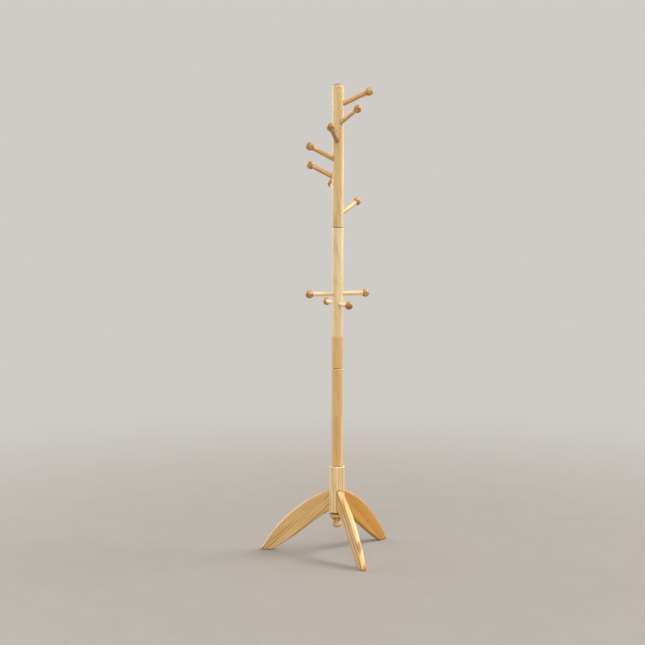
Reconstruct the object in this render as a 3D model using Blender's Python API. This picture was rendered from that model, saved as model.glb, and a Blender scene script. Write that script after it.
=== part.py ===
"""A standing wooden coat rack.

A round pole in three sections stands on a six-sided base block with three curved plank legs. Seven
angled hooks wind round the top section and four level hooks cross the middle one. A turned finial
under the block closes the slots that the legs' dovetail keys slide into.

Metres, +Z up, floor at z = 0, front leg towards -Y. Azimuths are in degrees from -Y towards +X.
"""

from math import acos, cos, degrees, pi, radians, sin, sqrt, tan

import bmesh
import bpy
from mathutils import Matrix, Vector

GAP = 0.0003  # clearance between pieces that touch
MERGE = 0.00001

# ---- pole ----
RACK_HEIGHT = 1.760
UPPER_JOINT = 1.2311
LOWER_JOINT = 0.7050
POST_RADIUS = 0.0213
POST_CHAMFER = 0.0016
DOME_HEIGHT = 0.011
DOME_STEPS = 4
POST_SIDES = 32

# ---- studs and threaded inserts between the sections ----
STUD_RADIUS = 0.0040
STUD_REACH = 0.024  # into the wood on each side of a joint
INSERT_LENGTH = 0.015
INSERT_WALL = 0.0022
FASTENER_SIDES = 10

# ---- base block ----
HUB_BOTTOM = 0.1575
HUB_TOP = 0.3313
HUB_CORNER_RADIUS = 0.0310
HUB_FACE_RADIUS = HUB_CORNER_RADIUS * cos(pi / 6)
HUB_CHAMFER = 0.0012
HUB_SIDES = 6

# ---- legs and the pads under them ----
PAD_THICKNESS = 0.0020
LEG_AZIMUTHS = {"front": 0, "back_right": 120, "back_left": 240}
LEG_THICKNESS = 0.0185
LEG_ROUND = 0.006
LEG_ROUND_STEPS = 2
LEG_ROOT = HUB_FACE_RADIUS + GAP
LEG_SOLE = PAD_THICKNESS + GAP
LEG_ROOT_TOP = 0.2430
LEG_ROOT_BOTTOM = 0.1572
LEG_TOE_RADIUS = 0.2932
LEG_HEEL_RADIUS = 0.2540
LEG_CROWN_RADIUS = 0.528  # of the arc along the upper edge
LEG_HOLLOW_START = 0.027  # handle lengths of the curve along the lower edge
LEG_HOLLOW_END = 0.1035
LEG_HEEL_ANGLE = 24.4
LEG_STEPS = 12

# ---- dovetail keys ----
KEY_NECK = 0.0090
KEY_HEAD = 0.0130
KEY_DEPTH = 0.0085
KEY_BOTTOM = LEG_ROOT_BOTTOM + 0.0010
KEY_TOP = 0.2250

# ---- anti-slip pads ----
PAD_LENGTH = 0.0300
PAD_WIDTH = 0.0150
PAD_MARGIN = 0.0050  # from the toe
PAD_STEPS = 6

# ---- finial ----
FINIAL_SIDES = 24
FINIAL_NECK_RADIUS = 0.0240
FINIAL_NECK_BOTTOM = 0.1505
FLANGE_RADIUS = 0.0290
FLANGE_EDGE = 0.0015
FLANGE_MIDDLE = 0.1425  # where the flange's side starts to curve in
FLANGE_ROUND = 0.0065
GROOVE_RADIUS = 0.0200
GROOVE_HEIGHTS = (0.1362, 0.1345)
RING_RADIUS = 0.0225
RING_ROUND = 0.0028
RING_MIDDLE = 0.1315
WAIST_RADIUS = 0.0140
WAIST_HEIGHTS = (0.1275, 0.1215)
KNOB_RADIUS = 0.0185
KNOB_ROUND = 0.0090
KNOB_MIDDLE = 0.1105
KNOB_SIDE = 0.0040  # height of the knob's straight side

# ---- hooks ----
BALL_RADIUS = 0.0154
PEG_RADIUS = 0.0085
COLLAR_RADIUS = 0.0112
COLLAR_LENGTH = 0.0050
PEG_CHAMFER = 0.0006
BALL_STEPS = 6
HOOK_SIDES = 16
SOCKET_RADIUS = 0.0092
SOCKET_FLOOR = 0.0150  # distance of a socket's floor from the pole's axis
HOOK_BOLT_RADIUS = 0.0030
HOOK_BOLT_START = 0.0040
HOOK_BOLT_REACH = 0.0240  # into the peg
HOOK_INSERT_LENGTH = 0.0110
HOOK_INSERT_WALL = 0.0018

UPPER_HOOKS = 7
UPPER_HOOK_AZIMUTH = 69.6
UPPER_HOOK_TURN = -360 / UPPER_HOOKS
UPPER_HOOK_SPACING = 0.0673
UPPER_HOOK_TILT = 25.2
UPPER_BALL_DISTANCE = 0.1135  # ball's centre from the pole's axis, level
UPPER_BALL_HEIGHT = 1.7295  # of the top hook's ball

LOWER_HOOKS = 4
LOWER_HOOK_AZIMUTH = 1.7
LOWER_HOOK_TURN = 90
LOWER_HOOK_HEIGHTS = (0.9475, 0.9840)
LOWER_BALL_DISTANCE = 0.1117

# ---- finishes: colour, roughness, metallic ----
FINISHES = {
    "pole_wood": ((0.66, 0.44, 0.20), 0.38, 0.0),
    "hub_wood": ((0.62, 0.41, 0.20), 0.40, 0.0),
    "leg_wood": ((0.58, 0.36, 0.13), 0.40, 0.0),
    "finial_wood": ((0.60, 0.38, 0.15), 0.40, 0.0),
    "hook_wood": ((0.56, 0.30, 0.09), 0.36, 0.0),
    "steel": ((0.55, 0.55, 0.56), 0.35, 1.0),
    "brass": ((0.72, 0.55, 0.25), 0.35, 1.0),
    "pad_felt": ((0.035, 0.032, 0.030), 0.90, 0.0),
}


def clear_scene():
    for thing in list(bpy.data.objects):
        bpy.data.objects.remove(thing)


def finish(name):
    """The Principled material of this name, made on first use."""
    found = bpy.data.materials.get(name)
    if found:
        return found
    colour, roughness, metallic = FINISHES[name]
    material = bpy.data.materials.new(name)
    material.use_nodes = True
    shader = material.node_tree.nodes["Principled BSDF"]
    shader.inputs["Base Color"].default_value = (*colour, 1.0)
    shader.inputs["Roughness"].default_value = roughness
    shader.inputs["Metallic"].default_value = metallic
    return material


def direction(azimuth, tilt=0):
    """Unit vector away from the pole, tilted up."""
    turn, rise = radians(azimuth), radians(tilt)
    return Vector((sin(turn) * cos(rise), -cos(turn) * cos(rise), sin(rise)))


def arc(centre, radius, start, end, steps):
    """Points (r, z) on a circle about centre, from angle start to end in degrees."""
    angles = [radians(start + (end - start) * i / steps) for i in range(steps + 1)]
    return [(centre[0] + radius * cos(a), centre[1] + radius * sin(a)) for a in angles]


def bezier(first, second, third, fourth, steps):
    """Points on a cubic curve, both ends included."""
    points = []
    for i in range(steps + 1):
        t = i / steps
        weights = ((1 - t) ** 3, 3 * t * (1 - t) ** 2, 3 * t * t * (1 - t), t**3)
        handles = (first, second, third, fourth)
        points.append(tuple(sum(w * p[k] for w, p in zip(weights, handles)) for k in (0, 1)))
    return points


def make_object(name, bm, wood, smooth_angle=35):
    """Turns a bmesh into a named object with its material, smooth but for its sharp edges."""
    bmesh.ops.remove_doubles(bm, verts=bm.verts, dist=MERGE)
    bmesh.ops.recalc_face_normals(bm, faces=bm.faces)
    mesh = bpy.data.meshes.new(name)
    bm.to_mesh(mesh)
    bm.free()
    mesh.shade_smooth()
    mesh.set_sharp_from_angle(angle=radians(smooth_angle))
    made = bpy.data.objects.new(name, mesh)
    mesh.materials.append(finish(wood))
    bpy.context.collection.objects.link(made)
    made.parent = rack
    return made


def turned(name, profile, sides, wood, closed=False):
    """A solid turned about Z. The profile's (radius, height) points run from the axis to the axis,
    or round a closed section."""
    bm = bmesh.new()
    points = [bm.verts.new((radius, 0, height)) for radius, height in profile]
    edges = [bm.edges.new(pair) for pair in zip(points, points[1:])]
    if closed:
        edges.append(bm.edges.new((points[-1], points[0])))
    bmesh.ops.spin(bm, geom=points + edges, cent=(0, 0, 0), axis=(0, 0, 1), angle=2 * pi,
                   steps=sides, use_merge=True)
    return make_object(name, bm, wood)


def raise_face(bm, face, lift):
    """Extrudes a face and returns its moved corners."""
    swept = bmesh.ops.extrude_face_region(bm, geom=[face])["geom"]
    moved = [v for v in swept if isinstance(v, bmesh.types.BMVert)]
    bmesh.ops.translate(bm, verts=moved, vec=lift)
    return moved


def plate(outline, thickness, frame):
    """A flat outline in a frame's XY plane, thickened evenly to both sides of it."""
    bm = bmesh.new()
    corners = [bm.verts.new(frame @ Vector((x, y, -thickness / 2))) for x, y in outline]
    raise_face(bm, bm.faces.new(corners), frame.to_3x3() @ Vector((0, 0, thickness)))
    return bm


def as_cutter(tool):
    tool.hide_render = True
    tool.display_type = "WIRE"
    return tool


def boolean(target, tool, operation="DIFFERENCE"):
    cut = target.modifiers.new(tool.name, "BOOLEAN")
    cut.object = as_cutter(tool)
    cut.operation = operation
    cut.solver = "EXACT"


def aim(thing, origin, outwards):
    """Stands an object at origin with its own Z axis along outwards."""
    thing.location = origin
    thing.rotation_mode = "QUATERNION"
    thing.rotation_quaternion = Vector(outwards).to_track_quat("Z", "Y")
    return thing


# ---------------------------------------------------------------- pole


def stud_bore(joint):
    """Profile of the blind bore above a joint, from the axis out to the end face."""
    radius = STUD_RADIUS + GAP
    top = joint + STUD_REACH + GAP
    return [(0, top), (radius, top), (radius, joint + GAP / 2)]


def insert_bore(joint):
    """Profile of the stepped bore below a joint, from the end face in to the axis."""
    insert_radius = STUD_RADIUS + GAP + INSERT_WALL + GAP
    shoulder = joint - GAP - INSERT_LENGTH - GAP
    end = joint - STUD_REACH - GAP
    return [(insert_radius, joint - GAP / 2), (insert_radius, shoulder),
            (STUD_RADIUS + GAP, shoulder), (STUD_RADIUS + GAP, end), (0, end)]


def rim(end, chamfer):
    """The chamfered edge of a section's end; a negative chamfer is for the upper end."""
    flat, side = (POST_RADIUS - abs(chamfer), end), (POST_RADIUS, end + chamfer)
    return [flat, side] if chamfer > 0 else [side, flat]


def dome():
    """The rounded top of the pole, from its side in to the axis."""
    radius = (POST_RADIUS**2 + DOME_HEIGHT**2) / (2 * DOME_HEIGHT)
    edge = degrees(acos(POST_RADIUS / radius))
    steps = arc((0, RACK_HEIGHT - radius), radius, edge, 90, DOME_STEPS)
    return steps[:-1] + [(0, RACK_HEIGHT)]


def make_pole():
    upper = turned("upper_post",
                   stud_bore(UPPER_JOINT) + rim(UPPER_JOINT + GAP / 2, POST_CHAMFER) + dome(),
                   POST_SIDES, "pole_wood")
    middle = turned("middle_post",
                    stud_bore(LOWER_JOINT) + rim(LOWER_JOINT + GAP / 2, POST_CHAMFER)
                    + rim(UPPER_JOINT - GAP / 2, -POST_CHAMFER) + insert_bore(UPPER_JOINT),
                    POST_SIDES, "pole_wood")
    turned("lower_post",
           stud_bore(HUB_TOP) + rim(HUB_TOP + GAP / 2, POST_CHAMFER)
           + rim(LOWER_JOINT - GAP / 2, -POST_CHAMFER) + insert_bore(LOWER_JOINT),
           POST_SIDES, "pole_wood")
    return upper, middle


def make_joint_hardware():
    """A stud across each joint of the pole and one over the finial, each in a threaded insert."""
    joints = {"upper_post": ("middle_post_insert", UPPER_JOINT),
              "middle_post": ("lower_post_insert", LOWER_JOINT),
              "lower_post": ("hub_top_insert", HUB_TOP)}
    for post, (insert_name, joint) in joints.items():
        stud(post + "_stud", joint)
        insert(insert_name, joint - GAP - INSERT_LENGTH, INSERT_LENGTH, STUD_RADIUS, INSERT_WALL)
    stud("finial_stud", HUB_BOTTOM)
    insert("hub_bottom_insert", HUB_BOTTOM + GAP, INSERT_LENGTH, STUD_RADIUS, INSERT_WALL)


def stud(name, joint):
    low, high = joint - STUD_REACH, joint + STUD_REACH
    end = STUD_RADIUS * 0.75
    chamfer = STUD_RADIUS - end
    turned(name, [(0, low), (end, low), (STUD_RADIUS, low + chamfer),
                  (STUD_RADIUS, high - chamfer), (end, high), (0, high)],
           FASTENER_SIDES, "steel")


def insert(name, start, length, bolt_radius, wall):
    """A threaded insert: a plain sleeve about Z, with the bolt's clearance inside."""
    inner = bolt_radius + GAP
    outer = inner + wall
    return turned(name, [(inner, start), (outer, start), (outer, start + length),
                         (inner, start + length)], FASTENER_SIDES, "brass", closed=True)


# ---------------------------------------------------------------- base


def leg_frame(azimuth):
    """Frame of a leg: X away from the pole, Y up, Z across its thickness."""
    out = direction(azimuth)
    up = Vector((0, 0, 1))
    across = out.cross(up)
    return Matrix((out, up, across)).transposed().to_4x4()


def crown(start, end):
    """The arc along a leg's upper edge, from the block to the toe."""
    chord = Vector(end) - Vector(start)
    middle = (Vector(end) + Vector(start)) / 2
    sag = sqrt(LEG_CROWN_RADIUS**2 - (chord.length / 2) ** 2)
    inward = Vector((chord.y, -chord.x)).normalized()
    centre = middle + inward * sag
    points = []
    for i in range(LEG_STEPS + 1):
        point = Vector(start).lerp(Vector(end), i / LEG_STEPS) - centre
        points.append(tuple(centre + point.normalized() * LEG_CROWN_RADIUS))
    return points


def leg_outline():
    """A leg's side view (distance from the pole's axis, height), round from the root's top."""
    upper = crown((LEG_ROOT, LEG_ROOT_TOP), (LEG_TOE_RADIUS, LEG_SOLE))
    slope = radians(LEG_HEEL_ANGLE)
    rise = (LEG_HEEL_RADIUS - LEG_HOLLOW_END * cos(slope), LEG_SOLE + LEG_HOLLOW_END * sin(slope))
    lower = bezier((LEG_HEEL_RADIUS, LEG_SOLE), rise,
                   (LEG_ROOT + LEG_HOLLOW_START, LEG_ROOT_BOTTOM), (LEG_ROOT, LEG_ROOT_BOTTOM),
                   LEG_STEPS)
    return upper + lower


def round_rims(bm, frame):
    """Rounds the long edges of a leg's two sides, but not those of its root or its sole."""
    back = frame.inverted()
    rims = []
    for edge in bm.edges:
        first, last = [back @ v.co for v in edge.verts]
        on_one_side = abs(first.z - last.z) < MERGE
        at_root = max(first.x, last.x) < LEG_ROOT + MERGE
        at_sole = max(first.y, last.y) < LEG_SOLE + MERGE
        if on_one_side and not at_root and not at_sole:
            rims.append(edge)
    bmesh.ops.bevel(bm, geom=rims, offset=LEG_ROUND, segments=LEG_ROUND_STEPS, profile=0.5,
                    affect="EDGES", clamp_overlap=False)


def dovetail(name, azimuth, clearance, bottom, top):
    """The key on a leg's root or, with clearance, the slot that it slides into."""
    neck = KEY_NECK / 2 + clearance
    head = KEY_HEAD / 2 + clearance
    tip = HUB_FACE_RADIUS - KEY_DEPTH - clearance
    inside_leg = LEG_ROOT + KEY_DEPTH / 2
    section = [(inside_leg, -neck), (inside_leg, neck), (LEG_ROOT, neck), (tip, head),
               (tip, -head), (LEG_ROOT, -neck)]
    frame = leg_frame(azimuth)
    bm = bmesh.new()
    base = [bm.verts.new(frame @ Vector((x, bottom, across))) for x, across in section]
    raise_face(bm, bm.faces.new(base), (0, 0, top - bottom))
    return make_object(name, bm, "leg_wood")


def make_leg(side, azimuth):
    frame = leg_frame(azimuth)
    bm = plate(leg_outline(), LEG_THICKNESS, frame)
    round_rims(bm, frame)
    leg = make_object("leg_" + side, bm, "leg_wood")
    boolean(leg, dovetail("key_" + side, azimuth, 0, KEY_BOTTOM, KEY_TOP), "UNION")


def make_pad(side, azimuth):
    """A thin pad with round ends under a foot."""
    outer = LEG_TOE_RADIUS - PAD_MARGIN
    half = PAD_WIDTH / 2
    far = arc((outer - half, 0), half, -90, 90, PAD_STEPS)
    near = arc((outer - PAD_LENGTH + half, 0), half, 90, 270, PAD_STEPS)
    flat = Matrix.Rotation(radians(azimuth - 90), 4, "Z")
    flat.translation = (0, 0, PAD_THICKNESS / 2)
    make_object("foot_pad_" + side, plate(far + near, PAD_THICKNESS, flat), "pad_felt")


def make_hub():
    """The six-sided block, one face towards each leg, with its bores and dovetail slots."""
    bm = bmesh.new()
    top = HUB_TOP - GAP / 2
    ring = [(HUB_CORNER_RADIUS * cos(k * pi / 3), HUB_CORNER_RADIUS * sin(k * pi / 3), HUB_BOTTOM)
            for k in range(HUB_SIDES)]
    base = bm.faces.new([bm.verts.new(point) for point in ring])
    raised = raise_face(bm, base, (0, 0, top - HUB_BOTTOM))
    eased = [edge for edge in bm.edges if any(v in raised for v in edge.verts)]
    bmesh.ops.bevel(bm, geom=eased, offset=HUB_CHAMFER, segments=1, affect="EDGES")
    hub = make_object("base_hub", bm, "hub_wood")

    beyond = STUD_RADIUS
    bore = insert_bore(HUB_TOP)
    mouth = bore[0][0]
    upper = [(0, HUB_TOP + beyond), (mouth, HUB_TOP + beyond)] + bore[1:]
    lower = [(radius, HUB_BOTTOM + HUB_TOP - height) for radius, height in upper]
    boolean(hub, turned("hub_top_bore", upper, FASTENER_SIDES, "hub_wood"))
    boolean(hub, turned("hub_bottom_bore", lower, FASTENER_SIDES, "hub_wood"))
    for side, azimuth in LEG_AZIMUTHS.items():
        slot = dovetail("slot_" + side, azimuth, GAP, HUB_BOTTOM - beyond, KEY_TOP + GAP)
        boolean(hub, slot)


def make_finial():
    """The turned finial: a neck under the block, a flange, a ring and a round-ended knob."""
    bore = STUD_RADIUS + GAP
    bore_end = HUB_BOTTOM - STUD_REACH - GAP
    top = HUB_BOTTOM - GAP
    profile = [(0, bore_end), (bore, bore_end), (bore, top), (FINIAL_NECK_RADIUS, top),
               (FINIAL_NECK_RADIUS, FINIAL_NECK_BOTTOM)]
    edge = (FLANGE_RADIUS - FLANGE_EDGE, FINIAL_NECK_BOTTOM - FLANGE_EDGE)
    profile += arc(edge, FLANGE_EDGE, 90, 0, 1)
    profile += arc((FLANGE_RADIUS - FLANGE_ROUND, FLANGE_MIDDLE), FLANGE_ROUND, 0, -65, 3)
    profile += [(GROOVE_RADIUS, height) for height in GROOVE_HEIGHTS]
    profile += arc((RING_RADIUS - RING_ROUND, RING_MIDDLE), RING_ROUND, 75, -75, 4)
    profile += [(WAIST_RADIUS, height) for height in WAIST_HEIGHTS]
    shoulder = (KNOB_RADIUS - KNOB_ROUND, KNOB_MIDDLE + KNOB_SIDE / 2)
    base = (KNOB_RADIUS - KNOB_ROUND, KNOB_MIDDLE - KNOB_SIDE / 2)
    profile += arc(shoulder, KNOB_ROUND, 50, 0, 3)
    profile += arc(base, KNOB_ROUND, 0, -80, 4)
    profile += [(0, KNOB_MIDDLE - KNOB_SIDE / 2 - KNOB_ROUND)]
    turned("base_finial", profile, FINIAL_SIDES, "finial_wood")


# ---------------------------------------------------------------- hooks


def hook_profile(length):
    """A turned peg, its flared collar and its ball, from the bolt's bore to the ball's crown."""
    bore = HOOK_BOLT_RADIUS + GAP
    depth = HOOK_BOLT_REACH + GAP
    seat = length - sqrt(BALL_RADIUS**2 - COLLAR_RADIUS**2)
    flare = COLLAR_RADIUS - PEG_RADIUS
    tenon = [(0, depth), (bore, depth), (bore, 0), (PEG_RADIUS - PEG_CHAMFER, 0),
             (PEG_RADIUS, PEG_CHAMFER)]
    collar = [(PEG_RADIUS, seat - COLLAR_LENGTH),
              (PEG_RADIUS + flare / 4, seat - COLLAR_LENGTH / 3)]
    start = -degrees(acos(COLLAR_RADIUS / BALL_RADIUS))
    ball = arc((0, length), BALL_RADIUS, start, 90, BALL_STEPS)
    return tenon + collar + ball[:-1] + [(0, length + BALL_RADIUS)]


def make_hook(kind, number, post, origin, outwards, ball_distance):
    """A hook in its socket, with its hanger bolt and threaded insert, all along one axis."""
    name = f"{kind}_hook_{number}"
    insert_start = SOCKET_FLOOR - GAP - HOOK_INSERT_LENGTH
    bore = HOOK_BOLT_RADIUS + GAP + HOOK_INSERT_WALL + GAP
    mouth = 2 * POST_RADIUS
    socket = turned(name + "_socket",
                    [(0, mouth), (SOCKET_RADIUS, mouth), (SOCKET_RADIUS, SOCKET_FLOOR),
                     (bore, SOCKET_FLOOR), (bore, insert_start - GAP), (0, insert_start - GAP)],
                    HOOK_SIDES, "pole_wood")
    boolean(post, aim(socket, origin, outwards))

    seat = SOCKET_FLOOR + GAP
    hook = turned(name, hook_profile(ball_distance - seat), HOOK_SIDES, "hook_wood")
    aim(hook, origin + outwards * seat, outwards)
    bolt = turned(name + "_bolt", bolt_profile(), FASTENER_SIDES, "steel")
    aim(bolt, origin, outwards)
    sleeve = insert(name + "_insert", insert_start, HOOK_INSERT_LENGTH, HOOK_BOLT_RADIUS,
                    HOOK_INSERT_WALL)
    aim(sleeve, origin, outwards)


def bolt_profile():
    """A hanger bolt: a plain shank in the insert, and a point in the peg's end grain."""
    end = SOCKET_FLOOR + HOOK_BOLT_REACH
    return [(0, HOOK_BOLT_START), (HOOK_BOLT_RADIUS, HOOK_BOLT_START),
            (HOOK_BOLT_RADIUS, end - 2 * HOOK_BOLT_RADIUS), (0, end)]


def make_hooks(upper_post, middle_post):
    tilt = radians(UPPER_HOOK_TILT)
    for k in range(UPPER_HOOKS):
        outwards = direction(UPPER_HOOK_AZIMUTH + k * UPPER_HOOK_TURN, UPPER_HOOK_TILT)
        ball_height = UPPER_BALL_HEIGHT - k * UPPER_HOOK_SPACING
        origin = Vector((0, 0, ball_height - UPPER_BALL_DISTANCE * tan(tilt)))
        make_hook("upper", k + 1, upper_post, origin, outwards, UPPER_BALL_DISTANCE / cos(tilt))
    for k in range(LOWER_HOOKS):
        outwards = direction(LOWER_HOOK_AZIMUTH + k * LOWER_HOOK_TURN)
        origin = Vector((0, 0, LOWER_HOOK_HEIGHTS[k % 2]))
        make_hook("lower", k + 1, middle_post, origin, outwards, LOWER_BALL_DISTANCE)


def centre_on_floor():
    """Moves the rack so that its box is centred over the origin."""
    bpy.context.view_layer.update()
    solids = [thing for thing in rack.children if not thing.hide_render]
    across = [(thing.matrix_world @ v.co).y for thing in solids for v in thing.data.vertices]
    rack.location.y = -(min(across) + max(across)) / 2


clear_scene()
rack = bpy.data.objects.new("rack", None)
bpy.context.collection.objects.link(rack)
upper_post, middle_post = make_pole()
make_joint_hardware()
make_hub()
make_finial()
for leg_side, leg_azimuth in LEG_AZIMUTHS.items():
    make_leg(leg_side, leg_azimuth)
    make_pad(leg_side, leg_azimuth)
make_hooks(upper_post, middle_post)
centre_on_floor()
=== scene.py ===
"""The looks of a standing wooden coat rack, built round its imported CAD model.

Each wooden CAD node is replaced by a finely turned, lofted or chamfered piece of about its size,
with its own lacquered wood. The steel and brass inside and the felt pads keep their CAD shapes.
Metres, +Z up. Azimuths are in degrees from -Y towards +X, as seen from the pole.
"""

from math import acos, cos, degrees, hypot, pi, radians, sin, sqrt

import bmesh
import bpy
from mathutils import Matrix, Vector


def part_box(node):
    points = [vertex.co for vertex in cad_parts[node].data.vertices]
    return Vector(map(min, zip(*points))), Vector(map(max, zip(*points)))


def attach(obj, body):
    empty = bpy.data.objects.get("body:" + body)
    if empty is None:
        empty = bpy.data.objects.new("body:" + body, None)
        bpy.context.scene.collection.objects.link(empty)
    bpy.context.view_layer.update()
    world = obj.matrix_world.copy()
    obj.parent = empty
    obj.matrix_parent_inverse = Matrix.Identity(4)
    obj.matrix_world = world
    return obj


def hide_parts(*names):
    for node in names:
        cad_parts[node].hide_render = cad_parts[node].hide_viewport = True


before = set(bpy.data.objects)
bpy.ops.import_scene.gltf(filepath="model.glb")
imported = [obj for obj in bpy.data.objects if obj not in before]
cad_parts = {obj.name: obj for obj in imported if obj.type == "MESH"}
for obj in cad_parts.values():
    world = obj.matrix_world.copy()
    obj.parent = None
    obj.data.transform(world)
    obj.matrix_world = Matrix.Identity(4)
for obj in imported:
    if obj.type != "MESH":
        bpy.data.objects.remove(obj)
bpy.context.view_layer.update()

# Sizes that the frame's boxes don't give.

GAP = 0.0003  # clearance between pieces that touch
BEYOND = 0.004  # how far a bore's or a slot's cutter stands out of its mouth
CUTTER_LIP = 0.006  # how far a side cutter stands out of the block's face

# ---- pole ----
POST_EDGE = 0.0010
EDGE_BAND = 0.0012  # width of the faces beside a rounded edge
SEAM_HEIGHT = 0.0024  # the shadow groove round the top of a section, which the CAD doesn't have
SEAM_DEPTH = 0.0022
# painted shade: half the height of the dark band painted round the lower section's foot, where it
# meets the block
FOOT_SHADOW = 0.0024
DOME_HEIGHT = 0.011
DOME_BAND = 0.0030
DOME_EASE = 0.0006
DOME_EASE_ANGLE = 1.5
STUD_BORE = 0.0043
STUD_DEPTH = 0.0243
INSERT_BORE = 0.0068
INSERT_DEPTH = 0.0156

# ---- block, with the slots for the legs' dovetail keys and the housings round their roots ----
HUB_EDGE = 0.0022
HUB_BAND = 0.002
SLOT_NECK = 0.0048
SLOT_HEAD = 0.0068
SLOT_DEPTH = 0.0088
SLOT_TOP = 0.0678  # above the block's bottom
HOUSING_GAP = 0.0016
HOUSING_DEPTH = 0.0045

# ---- legs ----
LEG_ROUND = 0.0068
ROOT_ROUND = 0.0108
ROOT_EASE = 0.0014
ROOT_SWELL = 0.0030
ROOT_INSET = 0.0038  # how far a leg's root is let into the block
ROOT_SHARE = 0.22  # of the leg's length, where the root's swell ends
SOLE_ROUND = 0.0010
SOLE_START = 0.70  # where the lower corners start to sharpen towards the sole
HOLLOW_SHARE = 0.86  # where the lower edge reaches the heel
CROWN_SHARE = 0.99  # of the crown's arc that a leg uses
SIDE_EASE = 0.0008
LEG_ROOT_BOTTOM = 0.1572
LEG_HEEL_RADIUS = 0.2540
LEG_CROWN_RADIUS = 0.528
LEG_HOLLOW_START = 0.027  # handle lengths of the curve along the lower edge
LEG_HOLLOW_END = 0.1035
LEG_HEEL_ANGLE = 24.4

# ---- finial, from the top down ----
FINIAL_NECK_RADIUS = 0.0200
FINIAL_NECK_BOTTOM = 0.1505
FINIAL_NECK_EASE = 0.0002
FLANGE_RADIUS = 0.0290
FLANGE_EDGE = 0.0015
FLANGE_SIDE = (0.1480, 0.1435)
FLANGE_MIDDLE = 0.1425  # where the flange's side starts to curve in
FLANGE_ROUND = 0.0065
FINIAL_GROOVE = ((0.0212, 0.1364), (0.0200, 0.1358), (0.0200, 0.1348))
RING_RADIUS = 0.0225
RING_ROUND = 0.0028
RING_MIDDLE = 0.1315
WAIST = ((0.0160, 0.1284), (0.0145, 0.1272), (0.0140, 0.1250), (0.0142, 0.1225), (0.0148, 0.1205))
KNOB_RADIUS = 0.0185
KNOB_ROUND = 0.0090
KNOB_SIDE = (0.1125, 0.1085)

# ---- hooks ----
BALL_RADIUS = 0.0154
PEG_RADIUS = 0.0085
PEG_EDGE = 0.0008
PEG_BAND = 0.0020
COLLAR_RADIUS = 0.0112
COLLAR_LENGTH = 0.0060
SOCKET_RADIUS = 0.0092
SOCKET_FLOOR = 0.0150
HOOK_BORE = 0.0033
HOOK_BORE_DEPTH = 0.0243
HOOK_INSERT_BORE = 0.0054
HOOK_INSERT_BORE_END = 0.0034

# ---- mesh fineness ----
POST_SIDES = 128
FINIAL_SIDES = 72
HOOK_SIDES = 40
BORE_SIDES = 24
LEG_STATIONS = 56
CORNER_STEPS = 6
COLLAR_STEPS = 7

# ---- the camera, from the pole ----
VIEW_AZIMUTH = -19.3
VIEW_DISTANCE = 5.572
VIEW_OFFSET = -0.0562
VIEW_HEIGHT = 1.4127
VIEW_PITCH = 5.51
VIEW_ROLL = 0.09
LENS = 83.6
SENSOR_WIDTH = 36

# ---- wood ----
RING_TURNS = 900.0  # closeness of the growth rings, in radians a metre
FINGER_PITCH = 0.0046
FINGER_LENGTH = 0.0075
MIDDLE_POST_JOINTS = [0.826]  # heights of the finger joints in the timber
LOWER_POST_JOINTS = [0.528, 0.617]
# heights of the painted shade in the finial's neck, under the block
FINIAL_SHADOW = (0.1508, 0.1580)

ANGLED_HOOKS = [f"upper_hook_{k}" for k in range(1, 8)]
LEVEL_HOOKS = [f"lower_hook_{k}" for k in range(1, 5)]
LEGS = ("front", "back_right", "back_left")


def centre(node):
    """The middle of a node's box."""
    low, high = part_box(node)
    return (low + high) / 2


pole = centre("lower_post")
pole.z = 0
post_radius = (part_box("lower_post")[1].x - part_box("lower_post")[0].x) / 2


def direction(azimuth):
    """The level way that an azimuth points."""
    turn = radians(azimuth)
    return Vector((sin(turn), -cos(turn), 0))


# ---------------------------------------------------------------- camera


def make_camera():
    """Places and aims the camera from the pole."""
    data = bpy.data.cameras.new("camera")
    data.lens = LENS
    data.sensor_width = SENSOR_WIDTH
    camera = bpy.data.objects.new("camera", data)
    bpy.context.scene.collection.objects.link(camera)
    bpy.context.scene.camera = camera
    to_camera = direction(VIEW_AZIMUTH)
    right = direction(VIEW_AZIMUTH + 90)
    camera.location = pole + to_camera * VIEW_DISTANCE + right * VIEW_OFFSET
    camera.location.z = VIEW_HEIGHT
    heading = Matrix.Rotation(radians(VIEW_AZIMUTH), 4, "Z")
    pitch = Matrix.Rotation(radians(90 - VIEW_PITCH), 4, "X")
    roll = Matrix.Rotation(radians(VIEW_ROLL), 4, "Z")
    camera.rotation_mode = "QUATERNION"
    camera.rotation_quaternion = (heading @ pitch @ roll).to_quaternion()


# ---------------------------------------------------------------- materials


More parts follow.
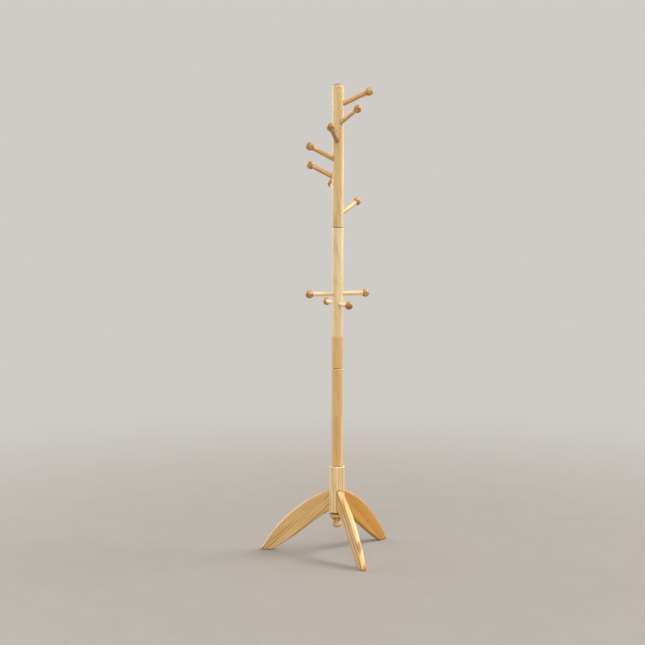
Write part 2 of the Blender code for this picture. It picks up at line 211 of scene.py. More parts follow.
class Graph:
    """A short way to write a material's nodes."""

    def __init__(self, name):
        self.material = bpy.data.materials.new(name)
        self.material.use_nodes = True
        self.tree = self.material.node_tree
        self.shader = self.tree.nodes["Principled BSDF"]

    def node(self, kind, settings=(), inputs=()):
        made = self.tree.nodes.new("ShaderNode" + kind)
        for name, value in dict(settings).items():
            setattr(made, name, value)
        for name, value in dict(inputs).items():
            self.feed(made.inputs[name], value)
        return made

    def feed(self, socket, value):
        if isinstance(value, bpy.types.NodeSocket):
            self.tree.links.new(value, socket)
        else:
            socket.default_value = value

    def math(self, operation, first, second=0.0, third=0.0):
        values = {0: first, 1: second, 2: third}
        return self.node("Math", {"operation": operation}, values).outputs[0]

    def vector(self, operation, first, second):
        made = self.node("VectorMath", {"operation": operation}, {0: first, 1: second})
        return made.outputs["Value" if operation in ("LENGTH", "DOT_PRODUCT") else "Vector"]

    def noise(self, where, stretch, detail=3.0, roughness=0.55, distortion=0.0):
        scaled = self.vector("MULTIPLY", where, stretch)
        made = self.node("TexNoise", (), {"Vector": scaled, "Scale": 1.0, "Detail": detail,
                                          "Roughness": roughness, "Distortion": distortion})
        return made.outputs["Fac"]

    def ramp(self, factor, stops, interpolation="EASE"):
        made = self.node("ValToRGB", (), {"Fac": factor})
        made.color_ramp.interpolation = interpolation
        elements = made.color_ramp.elements
        for i, (position, value) in enumerate(stops):
            element = elements[i] if i < 2 else elements.new(position)
            element.position = position
            element.color = (*value, 1.0) if isinstance(value, tuple) else (value,) * 3 + (1.0,)
        return made.outputs["Color"]

    def mix(self, factor, first, second, blend="MIX"):
        made = self.node("Mix", {"data_type": "RGBA", "blend_type": blend})
        self.feed(made.inputs["Factor"], factor)
        self.feed(made.inputs[6], first)
        self.feed(made.inputs[7], second)
        return made.outputs[2]

    def set(self, **values):
        for name, value in values.items():
            self.feed(self.shader.inputs[name.replace("_", " ").title()], value)

    def bump(self, height, strength, distance):
        made = self.node("Bump", (), {"Height": height, "Strength": strength,
                                      "Distance": distance})
        self.tree.links.new(made.outputs["Normal"], self.shader.inputs["Normal"])


def srgb(red, green, blue):
    """A colour given in 0 to 255 steps, as linear light."""
    steps = [value / 255 for value in (red, green, blue)]
    return tuple(s / 12.92 if s <= 0.04045 else ((s + 0.055) / 1.055) ** 2.4 for s in steps)


def shade(colour, factor):
    """A colour made lighter or darker."""
    return tuple(min(1.0, channel * factor) for channel in colour)


def grain_axes(g, grain):
    """A point and a normal on the piece, turned so that the grain runs along Z."""
    coordinates = g.node("TexCoord").outputs
    where, normal = coordinates["Object"], coordinates["Normal"]
    if grain:
        turn = {"Rotation": grain.to_euler()}
        where = g.node("Mapping", {"vector_type": "POINT"}, {"Vector": where, **turn}).outputs[0]
        normal = g.node("Mapping", {"vector_type": "VECTOR"}, {"Vector": normal, **turn}).outputs[0]
    return where, normal


def jagged(g, axes, finger):
    """Height along the piece, waved so that a level line on it becomes a finger joint."""
    across = g.math("ADD", axes[0], 1.0)
    tooth = g.math("PINGPONG", across, FINGER_PITCH / 2)
    return g.math("MULTIPLY_ADD", tooth, finger / (FINGER_PITCH / 2), axes[2])


def where_on(g, axes, joints, finger):
    """Which length of timber a point is on: 0 below the first joint, 1 above it, and so on."""
    number = g.math("ADD", 0.0, 0.0)
    for height in joints:
        above = g.math("GREATER_THAN", jagged(g, axes, finger), height)
        number = g.math("ADD", number, above)
    return number


def growth_rings(g, where, place, pith, turns):
    """The growth rings as a wave from 0 to 1, and the dark late wood at its crests."""
    wander = g.noise(place, (11, 11, 1.5), detail=2.0)
    ripple = g.noise(place, (70, 70, 7), detail=2.0)
    from_pith = g.vector("ADD", where, (*pith, 0))
    radius = g.vector("LENGTH", g.vector("MULTIPLY", from_pith, (1, 1, 0.05)), (0, 0, 0))
    bend = g.math("MULTIPLY", wander, turns / 30)
    bend = g.math("MULTIPLY_ADD", ripple, turns / 180, bend)
    phase = g.math("MULTIPLY_ADD", radius, turns, bend)
    ring = g.math("MULTIPLY_ADD", g.math("SINE", phase), 0.5, 0.5)
    strong = g.ramp(g.noise(place, (30, 30, 5), detail=2.0), [(0.38, 0.25), (0.62, 1.35)])
    return ring, g.math("MULTIPLY", g.math("POWER", ring, 2.6), strong)


def timber(g, figure, length, tones):
    """The wood's colour: each length of timber runs from its light tone to its dark one."""
    colour = None
    for number, (light, dark) in enumerate(tones):
        middle = tuple(a * 0.55 + b * 0.45 for a, b in zip(light, dark))
        tone = g.ramp(figure, [(0.08, light), (0.88, dark), (0.46, middle)], "LINEAR")
        if colour is None:
            colour = tone
        else:
            colour = g.mix(g.math("GREATER_THAN", length, number - 0.5), colour, tone)
    return colour


def wood(name, tones, seed, end_tone, rings=0.5, pith=(0.045, 0.03), joints=(),
         finger=FINGER_LENGTH, grain=None, painted_shades=(), coat=0.5, turns=RING_TURNS):
    """Lacquered wood, with its grain along Z of the grain matrix, or of the piece without one.

    tones: the light and dark of each length of timber, from the bottom up
    end_tone: the colour of end grain
    rings: how strongly the growth rings show
    pith: minus the place of the tree's middle, across the grain
    joints: the heights that divide the lengths of timber, with teeth of length finger
    painted_shades: the height range and tone of each band of painted shade, where a groove or gap
    falls into shadow
    turns: how close the growth rings are, in radians a metre
    """
    g = Graph(name)
    where, normal = grain_axes(g, grain)
    axes = g.node("SeparateXYZ", (), {0: where}).outputs
    length = where_on(g, axes, joints, finger)
    shift = g.math("MULTIPLY", length, 0.37)
    shift = g.node("CombineXYZ", (), {0: shift, 1: shift, 2: shift}).outputs[0]
    offset = (seed * 0.713, seed * 0.291, seed * 0.517)
    place = g.vector("ADD", g.vector("ADD", where, shift), offset)

    ring, late = growth_rings(g, where, place, pith, turns)
    streak = g.noise(place, (95, 95, 2.4), detail=4.0, roughness=0.6)
    cloud = g.noise(place, (16, 16, 4.0), detail=2.0)
    fibre = g.noise(place, (900, 900, 14), detail=3.0, roughness=0.7)
    pore = g.noise(place, (1700, 1700, 75), detail=1.0)

    figure = g.math("MULTIPLY_ADD", late, 0.55 * rings, g.math("MULTIPLY", streak, 1.25))
    figure = g.math("ADD", figure, g.math("MULTIPLY", cloud, 0.30))
    figure = g.math("ADD", figure, g.math("MULTIPLY", fibre, 0.20))
    figure = g.math("SUBTRACT", figure, 0.50 + 0.14 * rings)

    colour = timber(g, figure, length, tones)
    speck = g.ramp(pore, [(0.30, shade(tones[0][1], 0.72)), (0.40, (1.0, 1.0, 1.0))])
    colour = g.mix(0.30, colour, speck, "MULTIPLY")
    for height in joints:
        glue = g.math("COMPARE", jagged(g, axes, finger), height, 0.0004)
        colour = g.mix(g.math("MULTIPLY", glue, 0.35), colour, (*shade(end_tone, 0.7), 1.0))

    along = g.math("ABSOLUTE", g.node("SeparateXYZ", (), {0: normal}).outputs[2])
    end_grain = g.ramp(along, [(0.30, 0.0), (0.85, 1.0)])
    end_colour = g.ramp(g.math("ADD", streak, g.math("MULTIPLY", ring, 0.15)),
                        [(0.35, shade(end_tone, 1.15)), (0.72, shade(end_tone, 0.82))])
    colour = g.mix(end_grain, colour, end_colour)
    # painted highlight: sharp convex edges are painted a little lighter
    edge_painted_highlight = g.ramp(g.node("NewGeometry").outputs["Pointiness"], [(0.52, 0.0), (0.62, 1.0)])
    colour = g.mix(g.math("MULTIPLY", edge_painted_highlight, 0.16), colour, (*shade(tones[0][0], 1.1), 1.0))
    # painted shade: darkens each given height band, standing in for shadow in a groove or gap
    for low, high, tone in painted_shades:
        inside = g.math("COMPARE", axes[2], (low + high) / 2, (high - low) / 2)
        colour = g.mix(g.math("MULTIPLY", inside, 0.85), colour, (*tone, 1.0))

    g.set(base_color=colour, roughness=g.math("MULTIPLY_ADD", fibre, 0.16, 0.26))
    g.shader.inputs["Coat Weight"].default_value = coat
    g.shader.inputs["Coat Roughness"].default_value = 0.24
    g.shader.inputs["Specular IOR Level"].default_value = 0.5
    g.bump(g.math("ADD", fibre, g.math("MULTIPLY", pore, 0.6)), 0.10, 0.0001)
    return g.material


def metal(name, colour, roughness):
    """Turned metal with fine rings and slight staining."""
    g = Graph(name)
    where = g.node("TexCoord").outputs["Object"]
    stain = g.noise(where, (160, 160, 160), detail=4.0)
    lines = g.noise(where, (60, 60, 2600), detail=2.0)
    g.set(base_color=g.ramp(stain, [(0.3, shade(colour, 0.8)), (0.7, colour)]), metallic=1.0,
          roughness=g.math("MULTIPLY_ADD", lines, 0.2, roughness - 0.1))
    g.bump(lines, 0.3, 0.0001)
    return g.material


def felt(name, colour):
    """Matt felt with short fluff."""
    g = Graph(name)
    where = g.node("TexCoord").outputs["Object"]
    fluff = g.noise(where, (1800, 1800, 1800), detail=4.0, roughness=0.75)
    patch = g.noise(where, (220, 220, 220), detail=2.0)
    tone = g.math("MULTIPLY_ADD", fluff, 0.7, g.math("MULTIPLY", patch, 0.3))
    g.set(base_color=g.ramp(tone, [(0.3, shade(colour, 0.6)), (0.7, shade(colour, 1.4))]),
          roughness=0.95)
    g.shader.inputs["Sheen Weight"].default_value = 0.4
    g.bump(fluff, 0.6, 0.0004)
    return g.material


# ---------------------------------------------------------------- meshes


def arc(middle, radius, start, end, steps):
    """Points on an arc between two angles in degrees."""
    angles = [radians(start + (end - start) * i / steps) for i in range(steps + 1)]
    return [(middle[0] + radius * cos(a), middle[1] + radius * sin(a)) for a in angles]


def make_piece(name, bm, material, sharp=40):
    """Turns a finished bmesh into an object, smooth but for edges past the sharp angle."""
    bmesh.ops.remove_doubles(bm, verts=bm.verts, dist=0.000005)
    bmesh.ops.recalc_face_normals(bm, faces=bm.faces)
    mesh = bpy.data.meshes.new(name)
    bm.to_mesh(mesh)
    bm.free()
    mesh.shade_smooth()
    mesh.set_sharp_from_angle(angle=radians(sharp))
    if material:
        mesh.materials.append(material)
    piece = bpy.data.objects.new(name, mesh)
    bpy.context.scene.collection.objects.link(piece)
    return piece


def stands_for(piece, node):
    """Shows the piece instead of a CAD node."""
    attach(piece, "root")
    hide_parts(node)


def turned(name, profile, sides, material=None):
    """A solid turned about Z from (radius, height) points that run from the axis to the axis."""
    bm = bmesh.new()
    rings = []
    for radius, height in profile:
        if radius < 0.00001:
            rings.append([bm.verts.new((0, 0, height))])
            continue
        steps = [2 * pi * k / sides for k in range(sides)]
        rings.append([bm.verts.new((radius * cos(a), radius * sin(a), height)) for a in steps])
    for low, high in zip(rings, rings[1:]):
        join_rings(bm, low, high)
    return make_piece(name, bm, material)


def join_rings(bm, first, second):
    """Faces between two rings of points; a ring may be a single point on the axis."""
    count = max(len(first), len(second))
    for k in range(count):
        after = (k + 1) % count
        corners = [first[k % len(first)], first[after % len(first)],
                   second[after % len(second)], second[k % len(second)]]
        bm.faces.new(list(dict.fromkeys(corners)))


def apply_cuts(piece, cutters, sharp=40):
    """Cuts the piece with the cutters, keeps the result as its mesh, and removes the cutters."""
    for cutter in cutters:
        cut = piece.modifiers.new("cut", "BOOLEAN")
        cut.object = cutter
        cut.solver = "EXACT"
    bpy.context.view_layer.update()
    evaluated = piece.evaluated_get(bpy.context.evaluated_depsgraph_get())
    mesh = bpy.data.meshes.new_from_object(evaluated)
    piece.modifiers.clear()
    piece.data = mesh
    mesh.shade_smooth()
    mesh.set_sharp_from_angle(angle=radians(sharp))
    for cutter in cutters:
        bpy.data.objects.remove(cutter)


def bore(radius, face, end):
    """The profile of a bore, from its end on the axis to the face it opens in."""
    return [(0, end), (radius, end), (radius, face)]


def insert_bore(top):
    """The profile of an insert's bore and the stud's past it, from a top face to the axis."""
    return [(INSERT_BORE, top - INSERT_DEPTH), (STUD_BORE, top - INSERT_DEPTH),
            (STUD_BORE, top - STUD_DEPTH), (0, top - STUD_DEPTH)]


def prism(outlines):
    """A cutter between two outlines with as many points each."""
    bm = bmesh.new()
    ends = [[bm.verts.new(point) for point in outline] for outline in outlines]
    join_rings(bm, *ends)
    for end in ends:
        bm.faces.new(end)
    return make_piece("cutter", bm, None)


# ---------------------------------------------------------------- pole


def foot_points(bottom):
    """The eased edge of a section's lower end."""
    quarter = arc((post_radius - POST_EDGE, bottom + POST_EDGE), POST_EDGE, -90, 0, 4)
    inner = (quarter[0][0] - EDGE_BAND, bottom)
    return [inner] + quarter + [(post_radius, bottom + POST_EDGE + EDGE_BAND)]


def neck_points(top):
    """The rounded shoulder and the recessed neck at a section's upper end."""
    neck = post_radius - SEAM_DEPTH
    shoulder = top - SEAM_HEIGHT
    quarter = arc((neck, shoulder - SEAM_DEPTH), SEAM_DEPTH, 0, 90, 5)
    return [(post_radius, quarter[0][1] - EDGE_BAND)] + quarter + [(neck, top)]


def dome_points(top):
    """The low dome on the pole, with a small round where it meets the side."""
    radius = (post_radius**2 + DOME_HEIGHT**2) / (2 * DOME_HEIGHT)
    edge = degrees(acos(post_radius / radius))
    cap = arc((0, top - radius), radius, edge + DOME_EASE_ANGLE, 90, 16)
    shoulder = top - DOME_HEIGHT
    return [(post_radius, shoulder - DOME_BAND), (post_radius, shoulder - DOME_EASE),
            (post_radius - DOME_EASE / 6, shoulder - DOME_EASE / 3)] + cap[:-1] + [(0, top)]


def hook_line(hook):
    """A hook's axis from the frame: a point on the pole's axis, the direction out, and how far
    the peg's foot and the ball's crown are along it."""
    sleeve = centre(hook + "_insert")
    points = [v.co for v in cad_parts[hook].data.vertices]
    crown = max(points, key=lambda point: (point - sleeve).length)
    outwards = (crown - sleeve).normalized()
    level = hypot(outwards.x, outwards.y)
    reach = hypot(sleeve.x - pole.x, sleeve.y - pole.y) / level
    origin = sleeve - outwards * reach
    foot = min((point - origin).dot(outwards) for point in points)
    return origin, outwards, foot, (crown - origin).length


def aim(piece, origin, outwards):
    """Puts the piece's origin at a point and its Z along a direction."""
    turn = outwards.to_track_quat("Z", "Y").to_matrix().to_4x4()
    piece.matrix_world = Matrix.Translation(origin) @ turn


def socket_cutter(hook):
    """The socket for a hook's peg and the insert's bore behind it, for a post at the origin."""
    origin, outwards = hook_line(hook)[:2]
    mouth = post_radius * 2
    cutter = turned("cutter", [(0, mouth), (SOCKET_RADIUS, mouth), (SOCKET_RADIUS, SOCKET_FLOOR),
                               (HOOK_INSERT_BORE, SOCKET_FLOOR),
                               (HOOK_INSERT_BORE, HOOK_INSERT_BORE_END),
                               (0, HOOK_INSERT_BORE_END)], BORE_SIDES * 2)
    aim(cutter, origin - pole, outwards)
    return cutter


def make_post(node, material, hooks=(), domed=False):
    """A section of the pole, turned, with the sockets for its hooks."""
    low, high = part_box(node)
    bottom, top = low.z, high.z
    profile = bore(STUD_BORE, bottom, bottom + STUD_DEPTH) + foot_points(bottom)
    if domed:
        profile += dome_points(top)
    else:
        profile += neck_points(top) + [(INSERT_BORE, top)] + insert_bore(top)
    post = turned(node + "_turned", profile, POST_SIDES, material)
    if hooks:
        apply_cuts(post, [socket_cutter(hook) for hook in hooks])
    post.location = pole
    stands_for(post, node)


# ---------------------------------------------------------------- hooks


def ball_seat(crown):
    """How far along a hook its ball meets the collar, from how far its crown is."""
    return crown - BALL_RADIUS - sqrt(BALL_RADIUS**2 - COLLAR_RADIUS**2)


def hook_points(foot, crown):
    """A turned peg with a flared collar and a ball, from the bolt's bore to the crown."""
    points = bore(HOOK_BORE, foot, foot + HOOK_BORE_DEPTH)
    points += arc((PEG_RADIUS - PEG_EDGE, foot + PEG_EDGE), PEG_EDGE, -90, 0, 3)
    points.append((PEG_RADIUS, foot + PEG_BAND))
    flare = COLLAR_RADIUS - PEG_RADIUS
    for i in range(COLLAR_STEPS + 1):
        t = i / COLLAR_STEPS
        swell = flare * (t**3 * 0.8 + t * 0.2 * t)
        points.append((PEG_RADIUS + swell, ball_seat(crown) - COLLAR_LENGTH * (1 - t)))
    start = -degrees(acos(COLLAR_RADIUS / BALL_RADIUS))
    ball = arc((0, crown - BALL_RADIUS), BALL_RADIUS, start + 2, 90, 22)
    return points + ball[:-1] + [(0, crown)]


def make_hook(hook, material):
    """A turned hook on its own axis."""
    origin, outwards, foot, crown = hook_line(hook)
    piece = turned(hook + "_turned", hook_points(foot, crown), HOOK_SIDES, material)
    aim(piece, origin, outwards)
    stands_for(piece, hook)


# ---------------------------------------------------------------- base


def hub_face():
    """How far the block's faces are from the pole's axis."""
    low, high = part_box("base_hub")
    return (high.y - low.y) / 2


def make_hub(material):
    """The six-sided block with eased edges, its two bores and the three dovetail slots."""
    low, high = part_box("base_hub")
    top = high.z - low.z
    corner = hub_face() / cos(pi / 6)
    bm = bmesh.new()
    rings = []
    for inset, height in hub_levels(top):
        rings.append([bm.verts.new((x, y, height)) for x, y in hexagon(corner - inset, HUB_EDGE)])
    for lower, upper in zip(rings, rings[1:]):
        join_rings(bm, lower, upper)
    bm.faces.new(rings[0])
    bm.faces.new(rings[-1])
    hub = make_piece("base_hub_block", bm, material)
    upper_bore = [(0, top + BEYOND), (INSERT_BORE, top + BEYOND)] + insert_bore(top)
    lower_bore = [(radius, top - height) for radius, height in upper_bore]
    cutters = [turned("cutter", profile, BORE_SIDES) for profile in (upper_bore, lower_bore)]
    for leg in LEGS:
        cutters += [slot_cutter(leg), housing_cutter(leg, low.z)]
    apply_cuts(hub, cutters, 30)
    hub.location = (pole.x, pole.y, low.z)
    stands_for(hub, "base_hub")


def hub_levels(top):
    """How far the block's outline is drawn in, and at what height, from the bottom up."""
    rounded = arc((HUB_EDGE, top - HUB_EDGE), HUB_EDGE, 180, 90, 4)
    return ([(0, 0), (0, HUB_BAND), (0, top - 2 * HUB_BAND)] + rounded
            + [(HUB_EDGE + HUB_BAND / 2, top)])


def hexagon(corner, ease):
    """A hexagon's outline with small rounded corners."""
    points = []
    for k in range(6):
        middle = k * 60
        distance = corner - ease / cos(pi / 6)
        base = (distance * cos(radians(middle)), distance * sin(radians(middle)))
        points += arc(base, ease, middle - 30, middle + 30, 4)
    return points


def leg_axes(leg):
    """The ways out along a leg and across it."""
    out = leg_direction(leg)
    return out, Vector((-out.y, out.x, 0))


def slot_cutter(leg):
    """The slot for a leg's dovetail key, open at the block's bottom."""
    out, across = leg_axes(leg)
    face = hub_face()
    outside, tip = face + CUTTER_LIP, face - SLOT_DEPTH
    section = [(outside, -SLOT_NECK), (outside, SLOT_NECK), (face, SLOT_NECK), (tip, SLOT_HEAD),
               (tip, -SLOT_HEAD), (face, -SLOT_NECK)]
    return prism([[out * x + across * y + Vector((0, 0, height)) for x, y in section]
                  for height in (-BEYOND, SLOT_TOP)])


def housing_cutter(leg, hub_bottom):
    """The shallow round-topped recess round a leg's root."""
    out, across = leg_axes(leg)
    face = hub_face()
    half = (leg_thickness() + ROOT_SWELL) / 2 + HOUSING_GAP
    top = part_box("leg_" + leg)[1].z - hub_bottom + HOUSING_GAP
    corner = min(ROOT_ROUND, half * 0.98)
    outline = [(-half, -BEYOND), (half, -BEYOND)]
    outline += arc((half - corner, top - corner), corner, 0, 90, 6)
    outline += arc((corner - half, top - corner), corner, 90, 180, 6)
    return prism([[out * distance + across * y + Vector((0, 0, z)) for y, z in outline]
                  for distance in (face - HOUSING_DEPTH, face + CUTTER_LIP)])


def leg_thickness():
    """The front leg points along Y, so its box is as wide as every leg is thick."""
    low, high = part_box("leg_front")
    return high.x - low.x


def leg_direction(leg):
    """The level way from the pole to a leg's foot."""
    out = centre("foot_pad_" + leg) - pole
    out.z = 0
    return out.normalized()


def make_finial(material):
    """The turned finial: a neck under the block, a flange, a ring and a round-ended knob."""
    low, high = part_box("base_finial")
    top = high.z
    profile = bore(STUD_BORE, top, top - STUD_DEPTH)
    profile += [(FINIAL_NECK_RADIUS, top),
                (FINIAL_NECK_RADIUS, FINIAL_NECK_BOTTOM + FINIAL_NECK_EASE),
                (FINIAL_NECK_RADIUS + FINIAL_NECK_EASE, FINIAL_NECK_BOTTOM),
                (FLANGE_RADIUS - 1.2 * FLANGE_EDGE, FINIAL_NECK_BOTTOM)]
    profile += arc((FLANGE_RADIUS - FLANGE_EDGE, FINIAL_NECK_BOTTOM - FLANGE_EDGE), FLANGE_EDGE,
                   90, 0, 4)
    profile += [(FLANGE_RADIUS, height) for height in FLANGE_SIDE]
    profile += arc((FLANGE_RADIUS - FLANGE_ROUND, FLANGE_MIDDLE), FLANGE_ROUND, 0, -65, 8)
    profile += FINIAL_GROOVE
    profile += arc((RING_RADIUS - RING_ROUND, RING_MIDDLE), RING_ROUND, 75, -75, 10)
    profile += WAIST
    knob = KNOB_RADIUS - KNOB_ROUND
    profile += arc((knob, KNOB_SIDE[0]), KNOB_ROUND, 50, 0, 8)
    profile += arc((knob, KNOB_SIDE[1]), KNOB_ROUND, 0, -85, 10)
    profile += [(0, low.z)]
    finial = turned("base_finial_turned", profile, FINIAL_SIDES, material)
    finial.location = pole
    stands_for(finial, "base_finial")


def crown_curve(start, end, t):
    """A point on the arc along a leg's upper edge."""
    start, end = Vector(start), Vector(end)
    chord = end - start
    sag = sqrt(LEG_CROWN_RADIUS**2 - (chord.length / 2) ** 2)
    middle = (start + end) / 2 + Vector((chord.y, -chord.x)).normalized() * sag
    return middle + (start.lerp(end, t) - middle).normalized() * LEG_CROWN_RADIUS


def hollow_curve(root, heel, t):
    """A point on the S-curve along a leg's lower edge, from the root to the heel."""
    slope = radians(LEG_HEEL_ANGLE)
    handles = (Vector(root), Vector(root) + Vector((LEG_HOLLOW_START, 0)),
               Vector(heel) + Vector((-cos(slope), sin(slope))) * LEG_HOLLOW_END, Vector(heel))
    weights = ((1 - t) ** 3, 3 * t * (1 - t) ** 2, 3 * t * t * (1 - t), t**3)
    return sum((p * w for p, w in zip(handles, weights)), Vector((0, 0)))


def tangent(angle):
    """The way a clockwise arc runs at an angle in degrees."""
    return Vector((cos(radians(angle - 90)), sin(radians(angle - 90))))


def rounded_section(upper, lower, thickness, top_round, bottom_round):
    """Points round a leg's section between its upper and lower edge, as (place, across)."""
    height = (upper - lower).length
    along = (upper - lower).normalized()
    half = thickness / 2
    points = []
    corners = ((1, 1, top_round, 90, 0), (-1, 1, bottom_round, 0, -90),
               (-1, -1, bottom_round, -90, -180), (1, -1, top_round, 180, 90))
    for up, side, radius, start, end in corners:
        radius = min(radius, height * 0.48, half * 0.98)
        middle = (side * (half - radius), up * (height / 2 - radius))
        curve = arc(middle, radius, start, end, CORNER_STEPS)
        ease = min(SIDE_EASE, radius * 0.5)
        first = Vector(curve[0]) - tangent(start) * ease
        last = Vector(curve[-1]) + tangent(end) * ease
        points += [tuple(first)] + curve + [tuple(last)]
    origin = (upper + lower) / 2
    return [(origin + along * y, x) for x, y in points]


def leg_edges(t, root, toe, crown, sole):
    """The points on a leg's upper and lower edge at t, which runs from 0 at the root to 1."""
    upper = crown_curve((root, crown), (toe, sole), t * CROWN_SHARE)
    if t < HOLLOW_SHARE:
        heel = (LEG_HEEL_RADIUS, sole)
        return upper, hollow_curve((root, LEG_ROOT_BOTTOM), heel, t / HOLLOW_SHARE)
    run = (t - HOLLOW_SHARE) / (1 - HOLLOW_SHARE)
    return upper, Vector((LEG_HEEL_RADIUS + (toe - LEG_HEEL_RADIUS) * run, sole))


def leg_girth(t, thickness):
    """A leg's width and the rounds of its upper and lower corners at t."""
    near_root = max(0.0, 1 - t / ROOT_SHARE)
    near_sole = min(1.0, max(0.0, (t - SOLE_START) / (HOLLOW_SHARE - SOLE_START)))
    top_round = LEG_ROUND + (ROOT_ROUND - LEG_ROUND) * near_root
    bottom_round = LEG_ROUND + (SOLE_ROUND - LEG_ROUND) * near_sole
    return thickness + ROOT_SWELL * near_root**2, top_round, bottom_round


def root_sections(upper, lower, width, top_round, bottom_round):
    """The root's eased end, let into the block, and the full section just past it."""
    ease = Vector((0, ROOT_EASE))
    eased = rounded_section(upper - ease, lower + ease, width - 2 * ROOT_EASE,
                            top_round - ROOT_EASE, bottom_round - ROOT_EASE)
    full = rounded_section(upper, lower, width, top_round, bottom_round)
    back, start = Vector((ROOT_INSET, 0)), Vector((ROOT_EASE - ROOT_INSET, 0))
    return [[(place - back, side) for place, side in eased],
            [(place + start, side) for place, side in full]]


def make_leg(leg, tones, seed, rings, pith, coat, turns):
    """A leg lofted through rounded sections between its upper and lower edges."""
    node = "leg_" + leg
    low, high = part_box(node)
    out = leg_direction(leg)
    across = out.cross(Vector((0, 0, 1)))
    root = hub_face() + GAP
    toe = pole.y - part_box("leg_front")[0].y
    grain = Vector((toe - root, low.z - high.z)).normalized()
    # rows: in the leg's plane across the grain, across the leg, along the grain
    grain_matrix = Matrix((out * -grain.y + Vector((0, 0, grain.x)), across,
                           out * grain.x + Vector((0, 0, grain.y))))
    material = wood(node + "_wood", [tones], seed, LEG_END, rings, pith, grain=grain_matrix,
                    coat=coat, turns=turns)

    bm = bmesh.new()
    loops = []
    for i in range(LEG_STATIONS + 1):
        t = i / LEG_STATIONS
        shape = (*leg_edges(t, root, toe, high.z, low.z), *leg_girth(t, leg_thickness()))
        for section in root_sections(*shape) if i == 0 else [rounded_section(*shape)]:
            loops.append([bm.verts.new(out * place.x + Vector((0, 0, place.y)) + across * side)
                          for place, side in section])
    for first, second in zip(loops, loops[1:]):
        join_rings(bm, first, second)
    bm.faces.new(loops[0])
    bm.faces.new(loops[-1])
    piece = make_piece(node + "_shaped", bm, material, 45)
    piece.location = pole
    stands_for(piece, node)


# ---------------------------------------------------------------- finishes

# the light and dark tones of each wood
STRAW = (srgb(228, 198, 138), srgb(183, 140, 78))
PALE = (srgb(238, 214, 168), srgb(200, 166, 114))
HONEY = (srgb(226, 186, 120), srgb(176, 127, 62))
SAND = (srgb(226, 190, 130), srgb(178, 132, 72))
HUB = (srgb(240, 210, 156), srgb(188, 148, 90))
GOLD = (srgb(224, 185, 120), srgb(174, 126, 62))
OCHRE = (srgb(230, 184, 102), srgb(150, 98, 32))
DEEP = (srgb(210, 154, 68), srgb(132, 80, 18))
LIGHT = (srgb(236, 202, 142), srgb(192, 146, 82))
AMBER = (srgb(205, 151, 58), srgb(156, 98, 26))
STRIPED = (srgb(232, 190, 120), srgb(170, 115, 46))
CREAM = (srgb(246, 222, 172), srgb(212, 172, 110))
BALL = (srgb(210, 158, 80), srgb(150, 98, 32))
# end grain
END = srgb(164, 108, 42)
LEG_END = srgb(192, 142, 76)
DOME_END = srgb(176, 137, 80)
# painted highlight: end grain painted very pale, standing in for the light on the upward chamfers
# at the pole's joints and the block's top
PAINTED_HIGHLIGHT_END = srgb(252, 234, 200)
# painted shade: dark tones painted where grooves and gaps fall into shadow
DEEP_PAINTED_SHADE = srgb(60, 34, 20)
GROOVE_PAINTED_SHADE = srgb(104, 54, 14)

ANGLED_PEGS = (DEEP, LIGHT, DEEP, OCHRE, OCHRE, OCHRE, LIGHT)
# tones, seed, strength of the rings, pith, coat, closeness of the rings
LEG_WOODS = {
    "front": (STRIPED, 6, 1.4, (0.26, 0.15), 0.5, 330),
    "back_right": (AMBER, 7, 0.7, (0.16, 0.26), 0.0, 760),
    "back_left": (GOLD, 8, 0.9, (0.16, 0.26), 0.5, 860),
}


def seam_painted_shade(post):
    """The height range and tone of the painted shade in the groove round a section's upper end."""
    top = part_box(post)[1].z
    return top - SEAM_HEIGHT, top + SEAM_HEIGHT, GROOVE_PAINTED_SHADE


def finish_wood():
    """Makes every wooden piece in its own wood."""
    make_post("upper_post", wood("upper_post_wood", [STRAW], 1, DOME_END), ANGLED_HOOKS, True)
    for_middle = wood("middle_post_wood", [HONEY, PALE], 2, PAINTED_HIGHLIGHT_END, joints=MIDDLE_POST_JOINTS,
                      painted_shades=[seam_painted_shade("middle_post")])
    make_post("middle_post", for_middle, LEVEL_HOOKS)
    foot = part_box("lower_post")[0].z
    # painted shade round the lower section's foot, where it stands on the block
    foot_painted_shade = (foot - FOOT_SHADOW, foot + FOOT_SHADOW, GROOVE_PAINTED_SHADE)
    for_lower = wood("lower_post_wood", [HONEY, SAND, HONEY], 3, PAINTED_HIGHLIGHT_END,
                     joints=LOWER_POST_JOINTS, painted_shades=[seam_painted_shade("lower_post"), foot_painted_shade])
    make_post("lower_post", for_lower)
    make_hub(wood("hub_wood", [HUB], 4, PAINTED_HIGHLIGHT_END, 1.0, pith=(0.10, 0.02)))
    # the finial's neck gets a band of painted shade under the block
    make_finial(wood("finial_wood", [HONEY], 5, END, painted_shades=[(*FINIAL_SHADOW, DEEP_PAINTED_SHADE)]))
    for leg, look in LEG_WOODS.items():
        make_leg(leg, *look)
    pegs = ANGLED_PEGS + (CREAM,) * len(LEVEL_HOOKS)
    for number, (hook, peg) in enumerate(zip(ANGLED_HOOKS + LEVEL_HOOKS, pegs)):
        seat = ball_seat(hook_line(hook)[3])
        make_hook(hook, wood(hook + "_wood", [peg, BALL], 10 + number, END, 0.8, finger=0.0,
                             joints=[seat], coat=0.4))


def finish_metal_and_felt():
    """Gives the CAD's fasteners and foot pads their materials."""
    steel = metal("zinc_steel", srgb(200, 200, 203), 0.32)
    brass = metal("plain_brass", srgb(214, 184, 118), 0.34)
    pad = felt("dark_felt", srgb(62, 58, 54))
    endings = {"_bolt": steel, "_stud": steel, "_insert": brass}
    for name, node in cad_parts.items():
        for ending, material in endings.items():
            if name.endswith(ending):
                node.material_slots[0].material = material
        if name.startswith("foot_pad"):
            node.material_slots[0].material = pad


# ---------------------------------------------------------------- studio

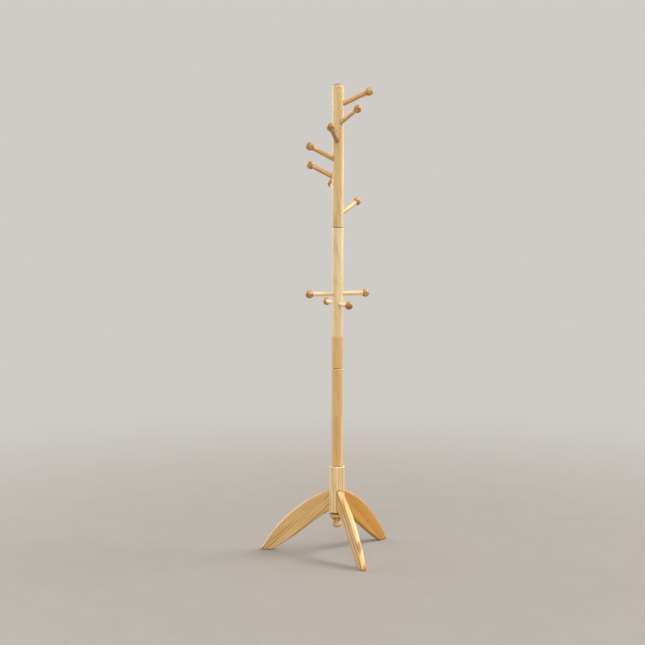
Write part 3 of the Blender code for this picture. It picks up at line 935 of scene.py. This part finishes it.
BACKDROP = srgb(207, 204, 199)
SKY_SHARE = 0.55  # of the backdrop's brightness, overhead
SKY_RISE = (0.16, 0.50)  # heights between which the backdrop dims
FLOOR = srgb(146, 140, 133)
FLOOR_RADIUS = 40
FADE_RADIUS = 5.0
FADE = (0.16, 0.80)  # shares of the fade's radius between which the floor turns to backdrop
SUNS = (  # name, azimuth from the camera's, elevation, strength, spread, colour
    ("window", 98, 46, 2.3, 26, (1.0, 0.985, 0.96)),
    ("right_rim", 122, 14, 1.4, 60, (1, 1, 1)),
    ("left_rim", -126, 14, 1.7, 60, (1, 1, 1)),
    ("front_fill", -8, 34, 1.0, 40, (1, 1, 1)),
    ("overhead", 0, 70, 1.2, 50, (1, 1, 1)),
)


def make_floor():
    """A wide painted disc that fades into the backdrop's own colour far from the rack."""
    bm = bmesh.new()
    bmesh.ops.create_circle(bm, cap_ends=True, segments=96, radius=FLOOR_RADIUS)
    floor = make_piece("floor", bm, None)
    g = Graph("floor_paint")
    place = g.node("NewGeometry").outputs["Position"]
    distance = g.vector("LENGTH", place, (0, 0, 0))
    mottle = g.noise(place, (6, 6, 6), detail=3.0)
    g.set(base_color=g.ramp(mottle, [(0.3, shade(FLOOR, 0.985)), (0.7, shade(FLOOR, 1.015))]),
          roughness=0.6)
    far = g.ramp(g.math("DIVIDE", distance, FADE_RADIUS), [(FADE[0], 0.0), (FADE[1], 1.0)])
    glow = g.node("Emission", (), {"Color": (*BACKDROP, 1.0), "Strength": 1.0})
    blend = g.node("MixShader", (), {0: far, 1: g.shader.outputs[0], 2: glow.outputs[0]})
    output = g.tree.nodes["Material Output"]
    g.tree.links.new(blend.outputs[0], output.inputs["Surface"])
    floor.data.materials.append(g.material)


def sun(name, azimuth, elevation, strength, spread, colour):
    """A broad soft light from far away."""
    data = bpy.data.lights.new(name, "SUN")
    data.energy = strength
    data.angle = radians(spread)
    data.color = colour
    light = bpy.data.objects.new(name, data)
    bpy.context.scene.collection.objects.link(light)
    towards = direction(azimuth) * cos(radians(elevation)) + Vector((0, 0, sin(radians(elevation))))
    light.rotation_mode = "QUATERNION"
    light.rotation_quaternion = towards.to_track_quat("Z", "Y")


def make_world():
    """Backdrop colour round the horizon, dimmer above."""
    world = bpy.data.worlds.new("studio")
    world.use_nodes = True
    tree = world.node_tree
    coordinates = tree.nodes.new("ShaderNodeTexCoord")
    axes = tree.nodes.new("ShaderNodeSeparateXYZ")
    ramp = tree.nodes.new("ShaderNodeValToRGB")
    tree.links.new(coordinates.outputs["Generated"], axes.inputs[0])
    tree.links.new(axes.outputs[2], ramp.inputs[0])
    tree.links.new(ramp.outputs[0], tree.nodes["Background"].inputs[0])
    colours = (BACKDROP, shade(BACKDROP, SKY_SHARE))
    for element, position, colour in zip(ramp.color_ramp.elements, SKY_RISE, colours):
        element.position = position
        element.color = (*colour, 1.0)
    bpy.context.scene.world = world
    bpy.context.scene.view_settings.view_transform = "Standard"


def make_studio():
    """The floor, the backdrop and the lights, which keep their places round the camera."""
    make_floor()
    make_world()
    for name, azimuth, *rest in SUNS:
        sun(name, VIEW_AZIMUTH + azimuth, *rest)


make_camera()
finish_wood()
finish_metal_and_felt()
make_studio()
